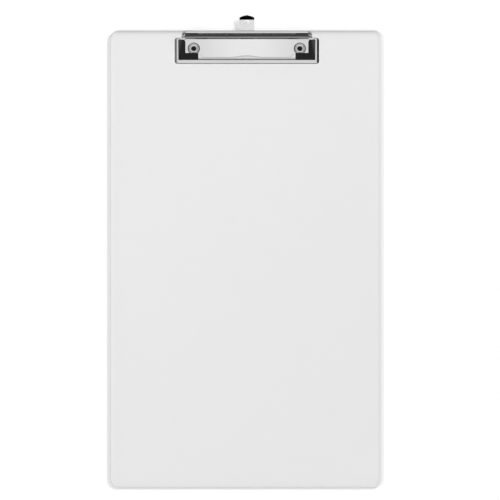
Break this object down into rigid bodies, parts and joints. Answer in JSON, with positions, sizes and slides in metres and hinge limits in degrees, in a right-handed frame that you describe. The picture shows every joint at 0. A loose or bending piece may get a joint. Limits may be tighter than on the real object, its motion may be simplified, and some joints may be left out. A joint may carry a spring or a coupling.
{
  "type": "clipboard",
  "caption": "Legal-size clear plastic clipboard with a sprung low-profile metal clip, rubber corner pads and a sliding hanging tab.",
  "frame": {"origin": "centre of the board's back face", "axes": "+Z out of the board's writing face, +Y towards the clip end, +X to the right as the writing face is looked at"},
  "size_m": [0.2286, 0.3939, 0.0112],
  "materials": {
    "clear_plastic": "clear, faintly grey, polished faces with a softly rounded, polished border",
    "chromed_plate": "mirror-bright plating",
    "chromed_frame": "mirror-bright plating",
    "steel_pin": "bright drawn steel, ends peened",
    "spring_wire": "drawn spring wire",
    "black_rubber": "matte black rubber",
    "rivet_metal": "bright plating, rolled flange",
    "washer_metal": "zinc-plated steel",
    "chromed_tab": "mirror-bright plating"
  },
  "bodies": {
    "base": {"board": "clear_plastic", "base_plate": "chromed_plate", "hinge_pin": "steel_pin", "left_torsion_spring": "spring_wire", "right_torsion_spring": "spring_wire", "left_rivet": "rivet_metal", "right_rivet": "rivet_metal", "left_rivet_washer": "washer_metal", "right_rivet_washer": "washer_metal"},
    "jaw": {"clamp_frame": "chromed_frame", "left_rubber_pad": "black_rubber", "right_rubber_pad": "black_rubber"},
    "hanger": {"hanging_tab": "chromed_tab"}
  },
  "joints": [
    {"name": "clamp_hinge", "type": "hinge", "parent": "base", "child": "jaw", "pos_m": [0, 0.1877, 0.006], "axis": [-1, 0, 0], "range_deg": [0, 32], "stiffness_Nm_per_rad": 0.6, "springref_deg": -68.75, "deforming": ["left_torsion_spring", "right_torsion_spring"]},
    {"name": "tab_slide", "type": "slide", "parent": "base", "child": "hanger", "axis": [0, -1, 0], "range_m": [0, 0.0115]}
  ]
}
